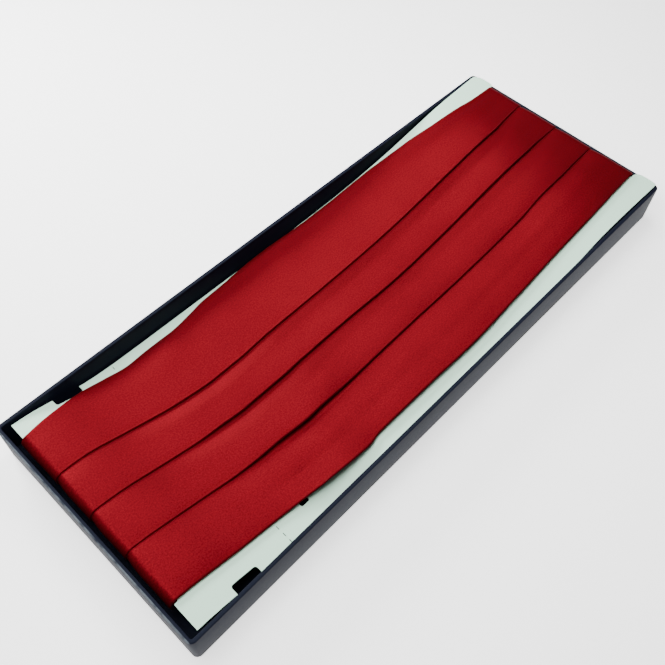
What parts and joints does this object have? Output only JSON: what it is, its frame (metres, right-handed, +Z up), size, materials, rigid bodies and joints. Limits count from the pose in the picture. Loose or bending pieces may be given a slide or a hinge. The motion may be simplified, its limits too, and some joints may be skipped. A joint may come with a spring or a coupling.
{
  "type": "cummerbund on a card in a box tray",
  "caption": "Pleated cummerbund wrapped round a bowed card, its strap and clasp closed underneath, lying in an open box tray.",
  "frame": {"origin": "middle of the tray's underside", "axes": "+X along the tray to the end where the card lies on the rim, +Y across it, +Z up"},
  "size_m": [0.345, 0.134, 0.0284],
  "materials": {
    "satin": "matt satin weave",
    "strap": "plain woven strap",
    "clasp": "plain black",
    "card": "smooth uncoated white card",
    "tray": "dark navy paper over stiff board, faint grain"
  },
  "bodies": {
    "root": {"pleated_front": "satin", "near_strap": "strap", "far_strap": "strap", "clasp": "clasp", "card": "card", "tray": "tray"}
  },
  "joints": []
}
